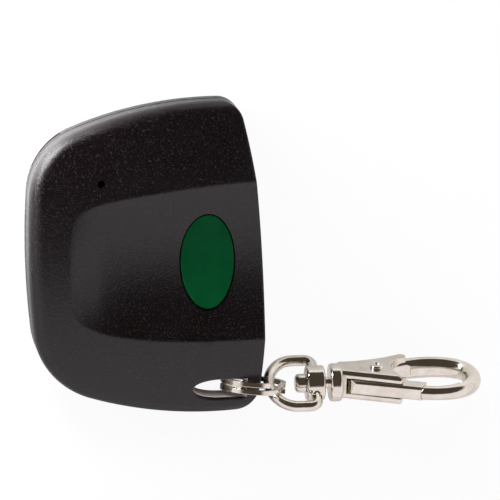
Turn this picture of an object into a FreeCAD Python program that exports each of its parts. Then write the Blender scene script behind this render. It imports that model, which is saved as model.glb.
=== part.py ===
import FreeCAD, Part
import math
import os

os.makedirs("parts", exist_ok=True)

# Frame: X to the right of the face, Y up the face, Z out of the face.
# The flat back of the case lies on z = 0, so the fob rests on its back.
# Pieces are drawn with y = 0 at the case's lower edge and moved at the end,
# so that the origin is the middle of the back face.
ORIGIN_Y = 25.6

V = FreeCAD.Vector
X_AXIS = V(1, 0, 0)
Y_AXIS = V(0, 1, 0)
Z_AXIS = V(0, 0, 1)

# case outline: sharp corners (top left, bottom left, bottom right, top right),
# the bow of each side and the rounding of each corner
OUTLINE_CORNERS = [(-18.45, 43.85), (-17.5, 5.9), (18.1, 0.1), (15.3, 51.5)]
OUTLINE_BOWS = [1.37, 2.47, 2.4, 2.39]
OUTLINE_ROUNDINGS = [11.8, 13.4, 5.0, 3.75]

CASE_DEPTH = 14.0
SEAM_Z = 5.0
WALL = 1.4
RIM_ROUNDING = 2.6
BACK_ROUNDING = 3.0
# the rounding dies out on the right: it is made on an outline that reaches further
RIM_REACH = 1.9
LIP_HEIGHT = 0.9
LIP_INSET = 0.75
LIP_GAP = 0.05

# domed face: a large ring surface, bowed more along the height than across
DOME_BOW_ACROSS = 150.0
DOME_BOW_ALONG = 70.0
DOME_X = 2.0
DOME_Y = 26.6

# thumb scoop: x, lower edge, upper edge, lift of the edges, depth in the middle
SCOOP_STATIONS = [
    (-16.0, 19.5, 31.0, 0.5, -0.6),
    (-12.9, 17.6, 32.6, 0.1, 0.0),
    (-11.0, 16.1, 34.4, 0.0, 0.8),
    (-7.0, 14.25, 35.9, 0.0, 2.5),
    (0.3, 13.1, 37.15, 0.0, 3.7),
    (7.5, 12.65, 38.05, 0.0, 4.2),
    (14.0, 12.6, 38.6, 0.0, 4.35),
    (22.0, 12.6, 38.9, 0.0, 4.4),
]
SCOOP_LEFT = -18.0
SCOOP_RIGHT = 23.0
SCOOP_SPARE = 0.12
SCOOP_ROOM = 14.0
SCOOP_ROWS = 24
SCOOP_COLUMNS = 20

BUTTON_X = 9.95
BUTTON_Y = 25.4
BUTTON_HALF_WIDTH = 4.45
BUTTON_HALF_HEIGHT = 7.85
BUTTON_GAP = 0.2
BUTTON_PROUD = 0.1
BUTTON_FLANGE = 0.9
BUTTON_FLANGE_LOW = 6.8
BUTTON_FLANGE_HIGH = 7.4

LED_X = -7.6
LED_Y = 39.1
LED_HOLE_RADIUS = 0.6

# key ring slot in the lower right corner
SLOT_X = 11.95
SLOT_Y = 4.1
SLOT_HALF_LENGTH = 4.45
SLOT_HALF_HEIGHT = 1.58
SLOT_ROUNDING = 0.5
SLOT_CORNER = 1.05
SLOT_BLOCK_X = 5.4
SLOT_BLOCK_Y = 7.3
FACET_ABOVE_RING = 3.98
NOTCH_Z = 3.4
NOTCH_X = 6.4
NOTCH_Y = 6.9

SEAM_GROOVE_DEPTH = 0.3
SEAM_GROOVE_HEIGHT = 0.4

# pry slot in the rear shell at the upper left
PRY_X = -16.0
PRY_Y = 43.7
PRY_TURN = 47.0
PRY_LENGTH = 7.2
PRY_DEPTH = 0.7
PRY_LOW = 2.1
PRY_HIGH = 4.0

SCREW_X = 1.8
SCREW_Y = 21.3
SCREW_RADIUS = 0.95
SCREW_HEAD_RADIUS = 1.9
BOSS_RADIUS = 2.0

BOARD_LOW = 2.6
BOARD_THICKNESS = 1.0
BOARD_HIGH = BOARD_LOW + BOARD_THICKNESS
BOARD_EDGE_Y = 17.0
BOARD_INSET = 1.9
POSTS = [(-14.2, 21.0), (-9.5, 43.6), (12.6, 45.0), (14.6, 19.4)]

BATTERY_Y = 12.2
BATTERY_Z = 5.75
BATTERY_RADIUS = 4.0
CAN_LEFT = -11.9
CAN_RIGHT = 15.3
NUB_LEFT = -12.9
SPRING_BACK = 17.0
SEAT_HIGH = 2.2

# clasp: the axis of the swivel runs along X
CLASP_Y = 3.7
CLASP_Z = 5.85
SHACKLE_TILT = 33.0
HOOK_TILT = 14.5
RING_X = 17.85
RING_Y = 3.65
RING_Z = 5.85
RING_PITCH = 5.0
RING_ROLL = 6.0
RING_INNER = 4.55
RING_OUTER = 5.4
RING_WIRE_HEIGHT = 0.8
RING_STEP = 1.22


def box(x0, x1, y0, y1, z0, z1):
    return Part.makeBox(x1 - x0, y1 - y0, z1 - z0, V(x0, y0, z0))


def rod(radius, start, end):
    a = V(*start)
    b = V(*end)
    return Part.makeCylinder(radius, (b - a).Length, a, b - a)


def upright(radius, x, y, z0, z1):
    return Part.makeCylinder(radius, z1 - z0, V(x, y, z0), Z_AXIS)


def join(shapes):
    whole = shapes[0]
    for s in shapes[1:]:
        whole = whole.fuse(s)
    return whole.removeSplitter()


def bowed(a, b, bow):
    start = V(a[0], a[1], 0)
    end = V(b[0], b[1], 0)
    along = (end - start).normalize()
    outward = V(along.y, -along.x, 0)
    middle = (start + end) * 0.5 + outward * bow
    return Part.Arc(start, middle, end).toShape()


# a right corner moved along its own long side, the lower or the upper one
def moved_corner(corner, side, reach):
    circle = side.Curve
    x = corner[0] + reach
    rise = math.sqrt(circle.Radius ** 2 - (x - circle.Center.x) ** 2)
    if corner[1] < circle.Center.y:
        rise = -rise
    return (x, circle.Center.y + rise)


def case_outline(reach):
    top_left, low_left, low_right, top_right = OUTLINE_CORNERS
    left, low, right, top = OUTLINE_BOWS
    low_side = bowed(low_left, low_right, low)
    top_side = bowed(top_right, top_left, top)
    low_middle = low_side.valueAt(sum(low_side.ParameterRange) / 2)
    top_middle = top_side.valueAt(sum(top_side.ParameterRange) / 2)
    low_right = moved_corner(low_right, low_side, reach)
    top_right = moved_corner(top_right, top_side, reach)
    sides = [
        bowed(top_left, low_left, left),
        Part.Arc(V(*low_left), low_middle, V(*low_right)).toShape(),
        bowed(low_right, top_right, right),
        Part.Arc(V(*top_right), top_middle, V(*top_left)).toShape(),
    ]
    block = Part.Face(Part.Wire(sides)).extrude(V(0, 0, 5))
    corners = [top_left, low_left, low_right, top_right]
    for corner, rounding in zip(corners, OUTLINE_ROUNDINGS):
        for edge in block.Edges:
            ends = edge.Vertexes
            if len(ends) == 2 and all(abs(v.X - corner[0]) + abs(v.Y - corner[1]) < 1e-3 for v in ends):
                block = block.makeFillet(rounding, [edge])
                break
    bottom = [f for f in block.Faces if abs(f.CenterOfMass.z) < 1e-6][0]
    return bottom.OuterWire


OUTLINE = case_outline(0)
RIM_OUTLINE = case_outline(RIM_REACH)


def inset_outline(inset):
    arcs = []
    for edge in OUTLINE.OrderedEdges:
        first, last = edge.ParameterRange
        places = [edge.valueAt(t) for t in (first, (first + last) / 2, last)]
        centre = Part.Arc(*places).toShape().Curve.Center
        spokes = [p - centre for p in places]
        moved = [centre + spoke * (1 - inset / spoke.Length) for spoke in spokes]
        arcs.append(Part.Arc(*moved).toShape())
    return Part.Wire(arcs)


def plate(inset, z0, z1):
    face = Part.Face(inset_outline(inset))
    face.translate(V(0, 0, z0))
    return face.extrude(V(0, 0, z1 - z0))


def dome_height(x, y):
    reach = DOME_BOW_ACROSS - DOME_BOW_ALONG + math.sqrt(DOME_BOW_ALONG ** 2 - (y - DOME_Y) ** 2)
    return CASE_DEPTH - DOME_BOW_ACROSS + math.sqrt(reach ** 2 - (x - DOME_X) ** 2)


def dome(inset):
    middle = V(DOME_X, DOME_Y, CASE_DEPTH - DOME_BOW_ACROSS)
    return Part.makeTorus(DOME_BOW_ACROSS - DOME_BOW_ALONG, DOME_BOW_ALONG - inset, middle, Y_AXIS)


def scoop_value(x, column):
    places = [station[0] for station in SCOOP_STATIONS]
    values = [station[column] for station in SCOOP_STATIONS]
    if x <= places[0]:
        return values[0]
    if x >= places[-1]:
        return values[-1]
    i = max(k for k in range(len(places) - 1) if places[k] <= x)
    slopes = []
    for k in (i, i + 1):
        before = max(k - 1, 0)
        after = min(k + 1, len(places) - 1)
        slopes.append((values[after] - values[before]) / (places[after] - places[before]))
    span = places[i + 1] - places[i]
    t = (x - places[i]) / span
    rise = t * t * (3 - 2 * t)
    leave = t * (1 - t) * (1 - t)
    arrive = t * t * (t - 1)
    return values[i] + (values[i + 1] - values[i]) * rise + span * (slopes[0] * leave + slopes[1] * arrive)


# the scoop is one smooth sheet through a net of points, thickened upwards
def scoop():
    rows = []
    for i in range(SCOOP_ROWS + 1):
        x = SCOOP_LEFT + (SCOOP_RIGHT - SCOOP_LEFT) * i / SCOOP_ROWS
        low = scoop_value(x, 1)
        high = scoop_value(x, 2)
        lift = scoop_value(x, 3)
        depth = scoop_value(x, 4)
        row = []
        for j in range(SCOOP_COLUMNS + 1):
            t = -SCOOP_SPARE + (1 + 2 * SCOOP_SPARE) * j / SCOOP_COLUMNS
            y = low + (high - low) * t
            row.append(V(x, y, dome_height(x, y) + lift - (lift + depth) * 4 * t * (1 - t)))
        rows.append(row)
    sheet = Part.BSplineSurface()
    sheet.interpolate(rows)
    return sheet.toShape().extrude(V(0, 0, SCOOP_ROOM))


SCOOP = scoop()


def ellipse_prism(x, y, half_x, half_y, z0, z1):
    if half_x >= half_y:
        curve = Part.Ellipse(V(x + half_x, y, z0), V(x, y + half_y, z0), V(x, y, z0))
    else:
        curve = Part.Ellipse(V(x, y + half_y, z0), V(x - half_x, y, z0), V(x, y, z0))
    return Part.Face(Part.Wire([curve.toShape()])).extrude(V(0, 0, z1 - z0))


# outer form of the whole case

outer = Part.Face(RIM_OUTLINE).extrude(V(0, 0, 22)).common(dome(0))
rim = []
for edge in outer.Edges:
    b = edge.BoundBox
    if b.ZMax - b.ZMin < 4 and b.ZMin > 6:
        rim.append(edge)
outer = outer.makeFillet(RIM_ROUNDING, rim)
outer = outer.common(plate(0, 0, 22))
print("outer", outer.isValid(), len(outer.Solids), len(outer.Faces))
back_rim = [e for e in outer.Edges if e.BoundBox.ZMax < 0.01]
outer = outer.makeFillet(BACK_ROUNDING, back_rim)
outer = outer.cut(SCOOP)

# a shallow flat blends the dome into the key ring corner
facet = Part.makeBox(80, 80, 20, V(-40, -40, 0))
facet_normal = V(0.07, -0.36, 1).normalize()
turn = FreeCAD.Rotation(Z_AXIS, facet_normal)
facet_spot = V(SLOT_X, SLOT_Y, RING_Z + FACET_ABOVE_RING)
facet.Placement = FreeCAD.Placement(facet_spot, turn)
facet = facet.copy()
facet_limit = box(-4, 30, -5, 14, 5, 30)
outer = outer.cut(facet.common(facet_limit))

block = box(SLOT_BLOCK_X, 40, -5, SLOT_BLOCK_Y, -1, 30)
slot_left = SLOT_X - SLOT_HALF_LENGTH
slot_right = SLOT_X + SLOT_HALF_LENGTH
slot_low = SLOT_Y - SLOT_HALF_HEIGHT
slot_high = SLOT_Y + SLOT_HALF_HEIGHT
slot_oval = ellipse_prism(SLOT_X, SLOT_Y, SLOT_HALF_LENGTH, SLOT_HALF_HEIGHT, -2, 24)
slot_oval = slot_oval.common(box(slot_left - 1, SLOT_X, 0, 10, -3, 30))
slot_end = box(SLOT_X, slot_right, slot_low, slot_high, -2, 24)
slot_corners = [
    e for e in slot_end.Edges
    if e.BoundBox.ZMax - e.BoundBox.ZMin > 20 and e.BoundBox.XMin > slot_right - 0.01
]
slot_end = slot_end.makeFillet(SLOT_CORNER, slot_corners)
slot = slot_oval.fuse(slot_end)
notch = box(NOTCH_X, 40, -5, NOTCH_Y, -1, NOTCH_Z)
notch_corner = [
    e for e in notch.Edges
    if abs(e.BoundBox.XMax - NOTCH_X) < 1e-3 and abs(e.BoundBox.YMin - NOTCH_Y) < 1e-3
]
notch = notch.makeFillet(2.5, notch_corner)
outer = outer.cut(notch).cut(slot)

slot_rims = []
for edge in outer.Edges:
    b = edge.BoundBox
    wide = b.XMax - b.XMin
    tall = b.YMax - b.YMin
    flat = b.ZMax - b.ZMin < 1.6
    inside = b.XMin > slot_left - 0.1 and b.XMax < slot_right + 0.1
    inside = inside and b.YMin > slot_low - 0.1 and b.YMax < slot_high + 0.1
    if flat and inside and max(wide, tall) > 0.02:
        slot_rims.append(edge)
print("slot rims", len(slot_rims))
outer = outer.makeFillet(SLOT_ROUNDING, slot_rims)

# hollow of the case

hollow = plate(WALL, WALL, 22)
hollow_rim = [e for e in hollow.Edges if e.BoundBox.ZMax < WALL + 0.01]
hollow = hollow.makeFillet(BACK_ROUNDING - WALL, hollow_rim).common(dome(WALL))
inner_scoop = SCOOP.copy()
inner_scoop.translate(V(0, 0, -WALL))
hollow = hollow.cut(inner_scoop).cut(block)

lip = plate(LIP_INSET, SEAM_Z - 0.6, SEAM_Z + LIP_HEIGHT).cut(plate(WALL, 0, 22)).cut(block)
lip_room = plate(LIP_INSET - LIP_GAP, SEAM_Z - 0.01, SEAM_Z + LIP_HEIGHT + 0.1)
lip_room = lip_room.cut(plate(WALL + 0.05, 0, 22)).cut(block)

above = box(-60, 60, -60, 90, SEAM_Z, 40)
below = box(-60, 60, -60, 90, -5, SEAM_Z)

seam_groove = box(-60, 60, -60, 90, SEAM_Z, SEAM_Z + SEAM_GROOVE_HEIGHT)
seam_groove = seam_groove.cut(plate(SEAM_GROOVE_DEPTH, 0, 22))

front_shell = outer.common(above).cut(hollow).cut(lip_room).cut(seam_groove)
boss = upright(BOSS_RADIUS, SCREW_X, SCREW_Y, BOARD_HIGH, CASE_DEPTH)
boss = boss.cut(outer.cut(hollow)).common(outer)
boss = [s for s in boss.Solids if s.BoundBox.ZMin < BOARD_HIGH + 0.1][0]
front_shell = front_shell.fuse(boss)
button_room = ellipse_prism(
    BUTTON_X, BUTTON_Y, BUTTON_HALF_WIDTH + BUTTON_GAP, BUTTON_HALF_HEIGHT + BUTTON_GAP, 6, 20
)
front_shell = front_shell.cut(button_room)
front_shell = front_shell.cut(upright(LED_HOLE_RADIUS, LED_X, LED_Y, 8, 20))
front_shell = front_shell.cut(upright(SCREW_RADIUS, SCREW_X, SCREW_Y, 2, 7.2))
front_shell = front_shell.removeSplitter()

rear_shell = outer.common(below).cut(hollow).fuse(lip.common(box(-60, 60, -60, 90, SEAM_Z - 0.6, 30)))
posts = [upright(1.1, x, y, 1.0, BOARD_LOW) for x, y in POSTS]
posts.append(upright(2.9, SCREW_X, SCREW_Y, 1.0, BOARD_LOW))
battery_room = rod(BATTERY_RADIUS, (-20, BATTERY_Y, BATTERY_Z), (20, BATTERY_Y, BATTERY_Z))
for x in (-8.0, 1.5, 11.0):
    cradle = box(x - 0.6, x + 0.6, BATTERY_Y - 3.4, BATTERY_Y + 3.4, 1.0, BATTERY_Z - 2.15)
    posts.append(cradle.cut(battery_room))
posts.append(box(SPRING_BACK - 0.6, SPRING_BACK + 0.8, BATTERY_Y - 2.6, BATTERY_Y + 2.6, 1.0, SEAT_HIGH))
for post in posts:
    rear_shell = rear_shell.fuse(post)
rear_shell = rear_shell.cut(upright(1.15, SCREW_X, SCREW_Y, -1, 4))
rear_shell = rear_shell.cut(upright(SCREW_HEAD_RADIUS + 0.1, SCREW_X, SCREW_Y, -1, 1.7))

pry = box(-PRY_LENGTH / 2, PRY_LENGTH / 2, -4, 4, PRY_LOW, PRY_HIGH)
pry.rotate(V(0, 0, 0), Z_AXIS, PRY_TURN)
pry.translate(V(PRY_X, PRY_Y, 0))
pry = pry.cut(plate(PRY_DEPTH, 0, 22))
rear_shell = rear_shell.cut(pry).removeSplitter()

# screw

case_screw = join([
    upright(SCREW_HEAD_RADIUS, SCREW_X, SCREW_Y, 0.5, 1.7),
    upright(SCREW_RADIUS, SCREW_X, SCREW_Y, 1.7, 7.0),
])
for turn_by in (0, 90):
    cross = box(-1.1, 1.1, -0.22, 0.22, 0, 1.2)
    cross.rotate(V(0, 0, 0), Z_AXIS, turn_by)
    cross.translate(V(SCREW_X, SCREW_Y, 0))
    case_screw = case_screw.cut(cross)

# button cap: an oval that follows the scoop

button_cap = ellipse_prism(
    BUTTON_X, BUTTON_Y, BUTTON_HALF_WIDTH, BUTTON_HALF_HEIGHT, BUTTON_FLANGE_LOW + 0.2, CASE_DEPTH + 2
)
lifted = SCOOP.copy()
lifted.translate(V(0, 0, BUTTON_PROUD))
button_cap = button_cap.cut(lifted)
cap_rim = [e for e in button_cap.Edges if e.BoundBox.ZMin > BUTTON_FLANGE_LOW + 0.3 and e.Length > 8]
button_cap = button_cap.makeFillet(0.3, cap_rim)
button_flange = ellipse_prism(
    BUTTON_X, BUTTON_Y,
    BUTTON_HALF_WIDTH + BUTTON_FLANGE, BUTTON_HALF_HEIGHT + BUTTON_FLANGE,
    BUTTON_FLANGE_LOW, BUTTON_FLANGE_HIGH,
)
button_cap = join([button_cap, button_flange])

# circuit board

circuit_board = plate(BOARD_INSET, BOARD_LOW, BOARD_HIGH).common(box(-40, 40, BOARD_EDGE_Y, 60, 0, 10))
circuit_board = circuit_board.cut(upright(1.3, SCREW_X, SCREW_Y, 0, 10))

# tactile switch under the button

SWITCH_HALF = 3.0
SWITCH_HIGH = BOARD_HIGH + 2.5
SWITCH_FLOOR = BOARD_HIGH + 0.8
COVER_THICKNESS = 0.3
SNAP_HIGH = SWITCH_FLOOR + 0.5
switch_base = box(
    BUTTON_X - SWITCH_HALF, BUTTON_X + SWITCH_HALF,
    BUTTON_Y - SWITCH_HALF, BUTTON_Y + SWITCH_HALF,
    BOARD_HIGH, SWITCH_HIGH,
)
switch_base = switch_base.cut(upright(2.3, BUTTON_X, BUTTON_Y, SWITCH_FLOOR, SWITCH_HIGH + 1))
switch_cover = box(
    BUTTON_X - SWITCH_HALF, BUTTON_X + SWITCH_HALF,
    BUTTON_Y - SWITCH_HALF, BUTTON_Y + SWITCH_HALF,
    SWITCH_HIGH, SWITCH_HIGH + COVER_THICKNESS,
)
switch_cover = switch_cover.cut(upright(1.75, BUTTON_X, BUTTON_Y, SWITCH_HIGH - 0.1, SWITCH_HIGH + 1))
switch_plunger = join([
    upright(2.2, BUTTON_X, BUTTON_Y, SNAP_HIGH + 0.4, SWITCH_HIGH - 0.05),
    upright(1.68, BUTTON_X, BUTTON_Y, SWITCH_HIGH - 0.05, BUTTON_FLANGE_LOW),
])
SNAP_BOW = 5.0
snap_middle = V(BUTTON_X, BUTTON_Y, SNAP_HIGH - SNAP_BOW)
snap_dome = Part.makeSphere(SNAP_BOW, snap_middle).cut(Part.makeSphere(SNAP_BOW - 0.15, snap_middle))
snap_dome = snap_dome.common(upright(2.2, BUTTON_X, BUTTON_Y, SWITCH_FLOOR, SNAP_HIGH + 0.3))

# ten way code switch

DIP_PITCH = 2.54
DIP_COUNT = 10
DIP_MIDDLE_X = -1.4
DIP_LOW_Y = 29.9
DIP_HIGH_Y = 35.9
DIP_HIGH_Z = BOARD_HIGH + 2.1
SLIDER_LOW = BOARD_HIGH + 1.3
SLIDER_HIGH = DIP_HIGH_Z + 0.5
DIP_TRAVEL = 1.9
SLIDER_Y = 1.3
DIP_ON = [True, False, False, True, True, False, True, False, True, False]
dip_half = DIP_PITCH * DIP_COUNT / 2 + 0.9
dip_switch_body = box(
    DIP_MIDDLE_X - dip_half, DIP_MIDDLE_X + dip_half, DIP_LOW_Y, DIP_HIGH_Y, BOARD_HIGH, DIP_HIGH_Z
)
dip_middle_y = (DIP_LOW_Y + DIP_HIGH_Y) / 2
track_half = (DIP_TRAVEL + SLIDER_Y) / 2 + 0.08
sliders = []
for i in range(DIP_COUNT):
    x = DIP_MIDDLE_X + (i - (DIP_COUNT - 1) / 2) * DIP_PITCH
    track = box(x - 0.68, x + 0.68, dip_middle_y - track_half, dip_middle_y + track_half, SLIDER_LOW, 8)
    dip_switch_body = dip_switch_body.cut(track)
    side = 1 if DIP_ON[i] else -1
    y = dip_middle_y + side * DIP_TRAVEL / 2
    sliders.append(box(x - 0.6, x + 0.6, y - SLIDER_Y / 2, y + SLIDER_Y / 2, SLIDER_LOW, SLIDER_HIGH))

# battery and its contacts

battery_can = rod(BATTERY_RADIUS, (CAN_LEFT, BATTERY_Y, BATTERY_Z), (CAN_RIGHT, BATTERY_Y, BATTERY_Z))
battery_can = battery_can.makeFillet(0.4, [e for e in battery_can.Edges if e.Length > 20 and e.BoundBox.XMax - e.BoundBox.XMin < 0.1])
battery_nub = rod(1.6, (NUB_LEFT, BATTERY_Y, BATTERY_Z), (CAN_LEFT, BATTERY_Y, BATTERY_Z))
battery_plate = box(NUB_LEFT - 0.4, NUB_LEFT, BATTERY_Y - 2.5, BATTERY_Y + 2.5, WALL, 9.0)
spring_plate = box(SPRING_BACK, SPRING_BACK + 0.4, BATTERY_Y - 3.0, BATTERY_Y + 3.2, SEAT_HIGH, 9.0)
spring_length = SPRING_BACK - CAN_RIGHT
coil_path = Part.makeHelix((spring_length - 0.5) / 2.5, spring_length - 0.5, 2.0)
coil_wire = Part.Wire([Part.makeCircle(0.25, V(2.0, 0, 0), Y_AXIS)])
battery_spring = Part.Wire(coil_path).makePipeShell([coil_wire], True, True)
battery_spring.rotate(V(0, 0, 0), Y_AXIS, 90)
battery_spring.translate(V(CAN_RIGHT + 0.25, BATTERY_Y, BATTERY_Z))

# radio parts on the board

CHIP_LEFT = -13.4
CHIP_RIGHT = -1.8
CHIP_LOW = 20.4
CHIP_HIGH = 26.4
CHIP_TOP = BOARD_HIGH + 2.3
LEAD_LOW = BOARD_HIGH + 1.1
LEAD_THICKNESS = 0.25
lead_high = LEAD_LOW + LEAD_THICKNESS
encoder_chip = box(CHIP_LEFT, CHIP_RIGHT, CHIP_LOW, CHIP_HIGH, BOARD_HIGH + 0.15, CHIP_TOP)
encoder_chip = encoder_chip.cut(upright(0.5, CHIP_LEFT + 1.3, CHIP_LOW + 1.3, CHIP_TOP - 0.2, CHIP_TOP + 1))
lead_list = []
for i in range(9):
    x = (CHIP_LEFT + CHIP_RIGHT) / 2 + (i - 4) * 1.27
    for side in (-1, 1):
        edge_y = CHIP_LOW if side < 0 else CHIP_HIGH
        far = edge_y + side * 1.3
        bend = edge_y + side * 0.55
        parts = [
            box(x - 0.2, x + 0.2, min(edge_y, bend), max(edge_y, bend), LEAD_LOW, lead_high),
            box(x - 0.2, x + 0.2, min(bend, bend - side * 0.25), max(bend, bend - side * 0.25), BOARD_HIGH, lead_high),
            box(x - 0.2, x + 0.2, min(bend, far), max(bend, far), BOARD_HIGH, BOARD_HIGH + LEAD_THICKNESS),
        ]
        lead_list.append(join(parts))
encoder_leads = Part.makeCompound(lead_list)

resonator_can = join([
    upright(4.3, 4.6, 41.3, BOARD_HIGH, BOARD_HIGH + 0.6),
    upright(3.9, 4.6, 41.3, BOARD_HIGH + 0.6, BOARD_HIGH + 3.4),
])
resonator_top = [e for e in resonator_can.Edges if e.BoundBox.ZMin > BOARD_HIGH + 3.3]
resonator_can = resonator_can.makeFillet(0.5, resonator_top)
TRIM_X = -2.6
TRIM_Y = 41.4
TRIM_HIGH = BOARD_HIGH + 1.4
TRIM_FLOOR = BOARD_HIGH + 0.8
trimmer_body = box(TRIM_X - 2.1, TRIM_X + 2.1, TRIM_Y - 2.1, TRIM_Y + 2.1, BOARD_HIGH, TRIM_HIGH)
trimmer_body = trimmer_body.cut(upright(1.65, TRIM_X, TRIM_Y, TRIM_FLOOR, TRIM_HIGH + 1))
trimmer_rotor = upright(1.6, TRIM_X, TRIM_Y, TRIM_FLOOR, TRIM_HIGH + 0.5)
rotor_slot = box(TRIM_X - 2, TRIM_X + 2, TRIM_Y - 0.25, TRIM_Y + 0.25, TRIM_HIGH + 0.1, TRIM_HIGH + 1)
trimmer_rotor = trimmer_rotor.cut(rotor_slot)
rf_transistor = join([
    box(11.0, 13.9, 38.0, 39.4, BOARD_HIGH + 0.1, BOARD_HIGH + 1.1),
    box(11.2, 11.6, 37.3, 38.0, BOARD_HIGH, BOARD_HIGH + 0.3),
    box(13.3, 13.7, 37.3, 38.0, BOARD_HIGH, BOARD_HIGH + 0.3),
    box(12.25, 12.65, 39.4, 40.1, BOARD_HIGH, BOARD_HIGH + 0.3),
])
LOOP_HIGH = BOARD_HIGH + 3.2
LAMP_LOW = BOARD_HIGH + 0.8
LAMP_DOME = LAMP_LOW + 4.2
loop_antenna = join([
    box(-6.0, 10.4, 45.7, 46.2, BOARD_HIGH, LOOP_HIGH),
    box(9.9, 10.4, 40.6, 45.7, BOARD_HIGH, LOOP_HIGH),
    box(-6.0, -5.5, 44.2, 45.7, BOARD_HIGH, LOOP_HIGH),
])
led_lamp = join([
    upright(1.9, LED_X, LED_Y, LAMP_LOW, LAMP_LOW + 0.6),
    upright(1.5, LED_X, LED_Y, LAMP_LOW + 0.6, LAMP_DOME),
    Part.makeSphere(1.5, V(LED_X, LED_Y, LAMP_DOME)),
])
led_legs = Part.makeCompound([
    box(LED_X + dx - 0.25, LED_X + dx + 0.25, LED_Y - 0.25, LED_Y + 0.25, BOARD_HIGH, LAMP_LOW)
    for dx in (-1.0, 1.0)
])
RESISTOR_SPOTS = [(-13.0, 38.6), (-13.0, 40.6), (-13.2, 29.0), (-7.0, 28.3), (5.6, 18.6), (9.5, 18.6)]
CAPACITOR_SPOTS = [(-1.6, 37.6), (8.8, 37.2), (15.4, 24.0), (15.4, 27.0), (-3.8, 18.5)]
chip_resistors = Part.makeCompound([
    box(x - 0.8, x + 0.8, y - 0.4, y + 0.4, BOARD_HIGH, BOARD_HIGH + 0.45) for x, y in RESISTOR_SPOTS
])
chip_capacitors = Part.makeCompound([
    box(x - 0.8, x + 0.8, y - 0.4, y + 0.4, BOARD_HIGH, BOARD_HIGH + 0.8) for x, y in CAPACITOR_SPOTS
])

# split ring: two flat turns joined by a short step

STEP_START = 300.0
STEP_SPAN = 44.0
STEP_PARTS = 8
ring_middle = (RING_INNER + RING_OUTER) / 2


def ring_section(angle, low):
    a = math.radians(angle)
    d = V(math.cos(a), 0, -math.sin(a))
    points = [
        d * RING_INNER + V(0, low, 0),
        d * RING_OUTER + V(0, low, 0),
        d * RING_OUTER + V(0, low + RING_WIRE_HEIGHT, 0),
        d * RING_INNER + V(0, low + RING_WIRE_HEIGHT, 0),
    ]
    return Part.makePolygon(points + [points[0]])


low_turn = -(RING_STEP + RING_WIRE_HEIGHT) / 2
high_turn = low_turn + RING_STEP
flat_span = 360.0 - STEP_SPAN - 6.0
turns = []
for low, start in ((low_turn, STEP_START - flat_span), (high_turn, STEP_START + STEP_SPAN)):
    face = Part.Face(ring_section(start, low))
    turns.append(face.revolve(V(0, 0, 0), Y_AXIS, flat_span))
step = []
for i in range(STEP_PARTS + 1):
    t = i / STEP_PARTS
    ease = t * t * (3 - 2 * t)
    step.append(ring_section(STEP_START + STEP_SPAN * t, low_turn + RING_STEP * ease))
turns.append(Part.makeLoft(step, True, True))
split_ring = turns[0].fuse(turns[1:])


def place_ring(shape):
    shape.rotate(V(0, 0, 0), X_AXIS, -RING_PITCH)
    shape.rotate(V(0, 0, 0), Z_AXIS, -RING_ROLL)
    shape.translate(V(RING_X, RING_Y, RING_Z))
    return shape


def place_clasp(shape, tilt):
    shape.rotate(V(0, 0, 0), X_AXIS, tilt)
    shape.translate(V(0, CLASP_Y, CLASP_Z))
    return shape


split_ring = place_ring(split_ring)

# shackle: a D loop with a boss for the swivel pin

SHACKLE_WIRE = 0.9
SHACKLE_HALF = 5.3
SHACKLE_LEFT = 20.5
SHACKLE_RIGHT = 28.1
SHACKLE_CORNER = 1.3
LEFT_BOW = 5.9
SHOULDER = 3.8
BOSS_LEFT = 26.6
BOSS_RIGHT = 29.65
PIN_RADIUS = 0.9


def spot(x, z):
    return V(x, 0, z)


big_x = SHACKLE_LEFT + LEFT_BOW
shoulder_z = SHACKLE_HALF - SHOULDER
shoulder_x = big_x - math.sqrt((LEFT_BOW - SHOULDER) ** 2 - shoulder_z ** 2)
lean_x = (shoulder_x - big_x) / (LEFT_BOW - SHOULDER)
lean_z = shoulder_z / (LEFT_BOW - SHOULDER)
tangent_x = big_x + LEFT_BOW * lean_x
tangent_z = LEFT_BOW * lean_z
mid_angle = (math.atan2(lean_z, lean_x) + math.pi / 2) / 2
mid_x = shoulder_x + SHOULDER * math.cos(mid_angle)
mid_z = shoulder_z + SHOULDER * math.sin(mid_angle)
inner_corner = SHACKLE_CORNER * (1 - math.sqrt(0.5))
shackle_path = Part.Wire([
    Part.Arc(spot(tangent_x, -tangent_z), spot(SHACKLE_LEFT, 0), spot(tangent_x, tangent_z)).toShape(),
    Part.Arc(spot(tangent_x, tangent_z), spot(mid_x, mid_z), spot(shoulder_x, SHACKLE_HALF)).toShape(),
    Part.makeLine(spot(shoulder_x, SHACKLE_HALF), spot(SHACKLE_RIGHT - SHACKLE_CORNER, SHACKLE_HALF)),
    Part.Arc(
        spot(SHACKLE_RIGHT - SHACKLE_CORNER, SHACKLE_HALF),
        spot(SHACKLE_RIGHT - inner_corner, SHACKLE_HALF - inner_corner),
        spot(SHACKLE_RIGHT, SHACKLE_HALF - SHACKLE_CORNER),
    ).toShape(),
    Part.makeLine(
        spot(SHACKLE_RIGHT, SHACKLE_HALF - SHACKLE_CORNER), spot(SHACKLE_RIGHT, SHACKLE_CORNER - SHACKLE_HALF)
    ),
    Part.Arc(
        spot(SHACKLE_RIGHT, SHACKLE_CORNER - SHACKLE_HALF),
        spot(SHACKLE_RIGHT - inner_corner, inner_corner - SHACKLE_HALF),
        spot(SHACKLE_RIGHT - SHACKLE_CORNER, -SHACKLE_HALF),
    ).toShape(),
    Part.makeLine(spot(SHACKLE_RIGHT - SHACKLE_CORNER, -SHACKLE_HALF), spot(shoulder_x, -SHACKLE_HALF)),
    Part.Arc(spot(shoulder_x, -SHACKLE_HALF), spot(mid_x, -mid_z), spot(tangent_x, -tangent_z)).toShape(),
])
path_start = shackle_path.OrderedEdges[0]
path_point = path_start.valueAt(path_start.FirstParameter)
path_direction = path_start.tangentAt(path_start.FirstParameter)
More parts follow.
